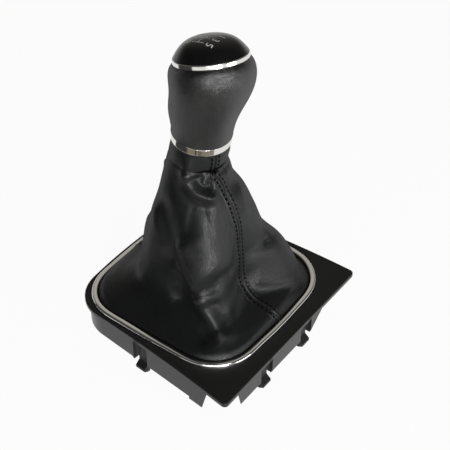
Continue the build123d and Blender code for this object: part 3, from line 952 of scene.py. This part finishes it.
def cord_rings(path, outward, radius):
    """Rings of a cord along a path of close points."""
    ahead = np.gradient(path, axis=0)
    ahead /= np.linalg.norm(ahead, axis=1, keepdims=True)
    beside = np.cross(outward, ahead)
    beside /= np.linalg.norm(beside, axis=1, keepdims=True)
    above = np.cross(ahead, beside)
    turns = np.linspace(0, 2 * math.pi, CORD_SIDES, endpoint=False)
    return [[path[k] + radius * (math.cos(t) * beside[k] + math.sin(t) * above[k]) for t in turns]
            for k in range(len(path))]


# Knot: size, distance from the leather, height and depth to its width, and points along it
KNOT_SIZE = 0.85 * MM
KNOT_OUT = 1.0 * MM
KNOT_HEIGHT = 0.9
KNOT_DEPTH = 0.8
KNOT_POINTS = 90
# Ends of the cord: lift off the leather, length, distance aside at knot and tip, thickness and points
END_LIFT = 0.6 * MM
END_DROP = 6.0 * MM
END_ASIDE = (1.0 * MM, 2.6 * MM)
END_THICKNESS = 0.9
END_POINTS = 24
# How deep the cord lies, in radii: at the front, how much deeper behind, and shares of the round between
CORD_SEAT = 0.3
CORD_SINK = 1.6
CORD_FRONT = (0.10, 0.20)


def tie_knot(place, outward):
    """Overhand knot of the cord, lying on the leather at the front seam."""
    across = np.cross(knob_up, outward)
    turn = np.linspace(0, 2 * math.pi, KNOT_POINTS)
    wide = np.sin(turn) + 2 * np.sin(2 * turn)
    high = np.cos(turn) - 2 * np.cos(2 * turn)
    deep = -np.sin(3 * turn)
    loops = wide[:, None] * across
    loops = loops + KNOT_HEIGHT * high[:, None] * knob_up + KNOT_DEPTH * deep[:, None] * outward
    path = place + outward * KNOT_OUT + KNOT_SIZE * loops
    return cord_rings(path, np.broadcast_to(outward, path.shape), CORD_RADIUS)


def tie_end(place, outward, side):
    """Short end of the cord that hangs from the knot."""
    part = np.linspace(0, 1, END_POINTS)[:, None]
    near, far = END_ASIDE
    away = outward * (KNOT_OUT + END_LIFT * (1 - part))
    aside = np.cross(knob_up, outward) * side * (near + (far - near) * part)
    path = place + away + aside - knob_up * END_DROP * part
    return cord_rings(path, np.broadcast_to(outward, path.shape), CORD_RADIUS * END_THICKNESS)


def neck_tie():
    """Cord drawn round the boot's neck, with its knot over the front seam."""
    foot = skin_grid[ROWS]
    outward = skin_normals[ROWS]
    aside = np.abs((np.arange(COLUMNS) + COLUMNS // 2) % COLUMNS - COLUMNS // 2)
    seat = CORD_SEAT - CORD_SINK * smooth_step(*CORD_FRONT, aside / COLUMNS)
    path = foot + outward * (CORD_RADIUS * seat)[:, None]
    around = cord_rings(np.concatenate([path, path[:1]]), np.concatenate([outward, outward[:1]]), CORD_RADIUS)
    front = outward[0] - (outward[0] @ knob_up) * knob_up
    front /= np.linalg.norm(front)
    return [around, tie_knot(path[0], front), tie_end(path[0], front, 1), tie_end(path[0], front, -1)]


tie = add_piece("neck_tie", tube_mesh("neck_tie", neck_tie()), thread)
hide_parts("boot_tie")
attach(tie, "knob")
stitch_groups = stitch_rows()
stitches_lower = add_piece("stitches_lower", tube_mesh("stitches_lower", stitch_groups["lower"]), thread)
stitches_upper = add_piece("stitches_upper", tube_mesh("stitches_upper", stitch_groups["upper"]), thread)

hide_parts("boot_left_panel", "boot_right_panel")
for piece in (boot_lower, stitches_lower):
    bend_lower(piece)
for piece in (boot_upper, stitches_upper):
    bend_upper(piece)


# Shift marks

CAP_MARK_RISE = 0.06 * MM
MARK_COLUMN = 5.7 * MM
MARK_MIDDLE = (4.2 * MM, 0.3 * MM)
GATE_HALF = 4.2 * MM
GATE_LINE = 0.50 * MM
DIGIT_HEIGHT = 4.5 * MM
DIGIT_TYPE_SIZE = 1.4 * DIGIT_HEIGHT
DIGIT_CUTS = 5
GATE_PARTS = 12
MARKS_FROM = 50.0 * MM
DIGIT_AWAY = 7.9 * MM
SHIFT_DIGITS = {"1": (-1, 1), "2": (-1, -1), "3": (0, 1), "4": (0, -1), "5": (1, 1), "R": (1, -1)}


def digit_outline(text, place):
    """Flat mesh of one printed digit, centred on its place in the cap's own plane."""
    curve = bpy.data.curves.new("digit", "FONT")
    curve.body = text
    curve.size = DIGIT_TYPE_SIZE
    curve.align_x = "CENTER"
    curve.align_y = "CENTER"
    holder = bpy.data.objects.new("digit", curve)
    bpy.context.scene.collection.objects.link(holder)
    bpy.context.view_layer.update()
    made = bpy.data.meshes.new_from_object(holder.evaluated_get(bpy.context.evaluated_depsgraph_get()))
    bpy.data.objects.remove(holder)
    fine = bmesh.new()
    fine.from_mesh(made)
    bmesh.ops.triangulate(fine, faces=fine.faces)
    bmesh.ops.subdivide_edges(fine, edges=fine.edges, cuts=DIGIT_CUTS, use_grid_fill=True)
    fine.to_mesh(made)
    fine.free()
    points = [(vertex.co.x + place[0], vertex.co.y + place[1]) for vertex in made.vertices]
    return points, [tuple(polygon.vertices) for polygon in made.polygons]


def bar_outline(start, finish):
    """Flat strip from one place to another in the cap's own plane."""
    start, finish = np.array(start), np.array(finish)
    across = np.array([start[1] - finish[1], finish[0] - start[0]])
    across = across / np.linalg.norm(across) * GATE_LINE / 2
    points, faces = [], []
    for step in range(GATE_PARTS + 1):
        middle = start + (finish - start) * step / GATE_PARTS
        points += [tuple(middle - across), tuple(middle + across)]
        if step:
            faces.append((2 * step - 2, 2 * step, 2 * step + 1, 2 * step - 1))
    return points, faces


def shift_pattern():
    """Digits and gate of the shift pattern, laid on to the cap's dome."""
    outlines = []
    for digit, (column, row) in SHIFT_DIGITS.items():
        place = (MARK_MIDDLE[0] + column * MARK_COLUMN, MARK_MIDDLE[1] + row * DIGIT_AWAY)
        outlines.append(digit_outline(digit, place))
    for column in (-1, 0, 1):
        x = MARK_MIDDLE[0] + column * MARK_COLUMN
        outlines.append(bar_outline((x, MARK_MIDDLE[1] - GATE_HALF), (x, MARK_MIDDLE[1] + GATE_HALF)))
    ends = [(MARK_MIDDLE[0] + side * MARK_COLUMN, MARK_MIDDLE[1]) for side in (-1, 1)]
    outlines.append(bar_outline(*ends))
    cap = BVHTree.FromObject(frame["nodes"]["knob_cap"], bpy.context.evaluated_depsgraph_get())
    right = np.array([1.0, 0.0, 0.0]) - ring_up[0] * ring_up
    right /= np.linalg.norm(right)
    forward = np.cross(ring_up, right)
    points, faces = [], []
    for outline, polygons in outlines:
        base = len(points)
        for u, v in outline:
            above = Vector(ring_middle + right * u + forward * v + ring_up * MARKS_FROM)
            hit, normal, _, _ = cap.ray_cast(above, Vector(-ring_up))
            points.append(hit + normal * CAP_MARK_RISE)
        faces.extend(tuple(base + corner for corner in polygon) for polygon in polygons)
    mesh = bpy.data.meshes.new("shift_pattern")
    mesh.from_pydata(points, [], faces)
    mesh.update()
    return mesh


marks = add_piece("shift_pattern", shift_pattern(), shift_marks())
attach(marks, "knob")


# Studio

CAMERA_PLACE = Vector((0.39245, 0.31190, 0.51773))
CAMERA_AIM = Vector((-0.60340, -0.45665, -0.65374))
FIELD_OF_VIEW = math.radians(24.602)
CAMERA_REACH = (0.01, 20.0)


def make_camera():
    lens = bpy.data.cameras.new("camera")
    lens.sensor_fit = "HORIZONTAL"
    lens.angle = FIELD_OF_VIEW
    lens.clip_start, lens.clip_end = CAMERA_REACH
    camera = bpy.data.objects.new("camera", lens)
    camera.location = CAMERA_PLACE
    camera.rotation_mode = "QUATERNION"
    camera.rotation_quaternion = CAMERA_AIM.to_track_quat("-Z", "Y")
    bpy.context.scene.collection.objects.link(camera)
    bpy.context.scene.camera = camera


# Lamps: place, size in metres and power in watts, all aimed at the middle of the object
LAMPS = {
    "window_lamp": ((0.64, 1.04, 0.32), (0.34, 0.34), 9.0),
    "broad_window": ((0.95, 0.72, 0.42), (0.60, 0.40), 5.0),
    "front_window": ((-0.15, 1.24, 0.17), (0.60, 0.40), 3.8),
    "key_lamp": ((0.36, 1.05, 1.36), (0.55, 0.55), 3.2),
}
LAMP_AIM = Vector((0.0, 0.0, 0.1))


def area_lamp(name, place, size, power):
    lamp = bpy.data.lights.new(name, "AREA")
    lamp.shape = "RECTANGLE"
    lamp.size, lamp.size_y = size
    lamp.energy = power
    lamp_object = bpy.data.objects.new(name, lamp)
    lamp_object.location = place
    lamp_object.rotation_mode = "QUATERNION"
    lamp_object.rotation_quaternion = (LAMP_AIM - Vector(place)).to_track_quat("-Z", "Y")
    lamp_object.visible_camera = False
    bpy.context.scene.collection.objects.link(lamp_object)


# Floor: half of its width, its paint, and how much of what is seen of it is plain white
FLOOR_HALF = 4.0
FLOOR_PAINT = (0.82, 0.82, 0.82, 1.0)
FLOOR_WHITE = (1.0, 1.0, 1.0, 1.0)
FLOOR_WHITE_SHARE = 0.95


def make_floor():
    """Floor that lights and shades like white paint, and is seen almost plain white."""
    mesh = bpy.data.meshes.new("floor")
    corners = [(x * FLOOR_HALF, y * FLOOR_HALF, 0) for x, y in ((-1, -1), (1, -1), (1, 1), (-1, 1))]
    mesh.from_pydata(corners, [], [(0, 1, 2, 3)])
    floor = bpy.data.objects.new("floor", mesh)
    bpy.context.scene.collection.objects.link(floor)
    material, shader = new_material("floor_white")
    seen = shader.node("ShaderNodeLightPath", output="Is Camera Ray")
    for ray in ("Is Glossy Ray", "Is Transmission Ray"):
        seen = seen.math("MAXIMUM", shader.node("ShaderNodeLightPath", output=ray))
    paint = shader.node("ShaderNodeBsdfDiffuse", {}, {"Color": FLOOR_PAINT})
    glow = shader.node("ShaderNodeEmission", {}, {"Color": FLOOR_WHITE, "Strength": 1.0})
    mixed = shader.node("ShaderNodeMixShader", {}, [seen * FLOOR_WHITE_SHARE, paint, glow])
    shader.node("ShaderNodeOutputMaterial", {}, {"Surface": mixed})
    mesh.materials.append(material)


# Light of the surroundings from the horizon up to straight above
SKY_STOPS = [
    (0.00, (1.00, 1.00, 1.00)),
    (0.05, (0.70, 0.70, 0.70)),
    (0.13, (0.20, 0.19, 0.18)),
    (0.34, (0.07, 0.066, 0.062)),
    (1.00, (0.06, 0.06, 0.06)),
]
SKY_STRENGTH = 0.9
# Patches above the white horizon: aim, colour and how narrow each one is
WALL_PATCHES = [
    ((-0.60, -0.46, 0.65), (0.42, 0.40, 0.36), 5.0),
    ((0.55, 0.35, 0.76), (0.05, 0.055, 0.065), 6.0),
]


def make_world():
    """White round the horizon, and a dim studio above with a beige patch behind the object."""
    world = bpy.data.worlds.new("studio")
    bpy.context.scene.world = world
    world.use_nodes = True
    shader = Shader(world.node_tree)
    toward = shader.node("ShaderNodeTexCoord", output="Generated")
    height = shader.node("ShaderNodeSeparateXYZ", {}, [toward], output=2)
    shade = shader.node("ShaderNodeValToRGB", {"stops": SKY_STOPS}, {"Fac": height})
    for aim, colour, narrow in WALL_PATCHES:
        aim = tuple(np.array(aim) / np.linalg.norm(aim))
        product = {"operation": "DOT_PRODUCT"}
        facing = shader.node("ShaderNodeVectorMath", product, [toward, aim], output="Value")
        amount = facing.clamp(0.0, 1.0).math("POWER", narrow)
        patch = {0: amount, 6: shade, 7: (*colour, 1.0)}
        shade = shader.node("ShaderNodeMix", {"data_type": "RGBA", "blend_type": "ADD"}, patch, output=2)
    light = shader.node("ShaderNodeBackground", {}, {"Color": shade, "Strength": SKY_STRENGTH})
    shader.node("ShaderNodeOutputWorld", {}, {"Surface": light})


# Glowing beige board on the floor in front, seen only in reflections as a painted reflection, with dark
# strips on it: angles in degrees, edges as reach and height, and colour
BOARD_ANGLES = (-14.0, 84.0)
BOARD_EDGES = ((0.185, 0.5 * MM), (0.45, 0.5 * MM))
PAINTED_REFLECTION_SHADE = (0.25, 0.225, 0.165)
STRIP_ANGLES = ((14.0, 18.0), (27.0, 30.0), (33.0, 35.0))
STRIP_EDGES = ((0.185, 0.8 * MM), (0.45, 0.8 * MM))
PAINTED_REFLECTION_STRIP_SHADE = (0.03, 0.025, 0.02)
# Dark glowing board beside the object with a low wall behind it, seen only in reflections: a painted dark
# reflection that keeps the boot's right flank dark
SIDE_ANGLES = (-66.0, -14.0)
SIDE_EDGES = ((0.14, 0.5 * MM), (0.55, 0.5 * MM), (0.60, 0.32))
PAINTED_DARK_REFLECTION_SHADE = (0.05, 0.05, 0.05)
BOARD_TURNS = 24


def painted_reflection_sector(name, first, last, edges, shade):
    """Sector of a glowing board between two edges, plain in one colour and seen only in reflections: a
    painted reflection.
    """
    turns = np.radians(np.linspace(first, last, BOARD_TURNS))
    points = []
    for turn in turns:
        points += [(reach * math.cos(turn), reach * math.sin(turn), rise) for reach, rise in edges]
    faces = [(2 * k, 2 * k + 1, 2 * k + 3, 2 * k + 2) for k in range(len(turns) - 1)]
    mesh = bpy.data.meshes.new(name)
    mesh.from_pydata(points, [], faces)
    material, shader = new_material(name)
    # Glows plain in its colour, though it is no lamp: a painted reflection.
    glow = shader.node("ShaderNodeEmission", {}, {"Color": (*shade, 1.0), "Strength": 1.0})
    shader.node("ShaderNodeOutputMaterial", {}, {"Surface": glow})
    painted_reflection_board = add_piece(name, mesh, material)
    painted_reflection_board.visible_camera = False
    painted_reflection_board.visible_diffuse = False
    painted_reflection_board.visible_shadow = False


# Painted reflections: a beige board with dark strips in front, and a dark board and wall beside.
def make_painted_reflection_boards():
    painted_reflection_sector("painted_reflection_board", *BOARD_ANGLES, BOARD_EDGES, PAINTED_REFLECTION_SHADE)
    for count, (first, last) in enumerate(STRIP_ANGLES):
        painted_reflection_sector(f"painted_reflection_strip_{count}", first, last, STRIP_EDGES, PAINTED_REFLECTION_STRIP_SHADE)
    painted_reflection_sector("painted_dark_reflection_board", *SIDE_ANGLES, SIDE_EDGES[:2], PAINTED_DARK_REFLECTION_SHADE)
    painted_reflection_sector("painted_dark_reflection_wall", *SIDE_ANGLES, SIDE_EDGES[1:], PAINTED_DARK_REFLECTION_SHADE)


make_camera()
make_world()
make_painted_reflection_boards()
make_floor()
for lamp_name, (lamp_place, lamp_size, lamp_power) in LAMPS.items():
    area_lamp(lamp_name, lamp_place, lamp_size, lamp_power)

bpy.context.scene.view_settings.view_transform = "Standard"
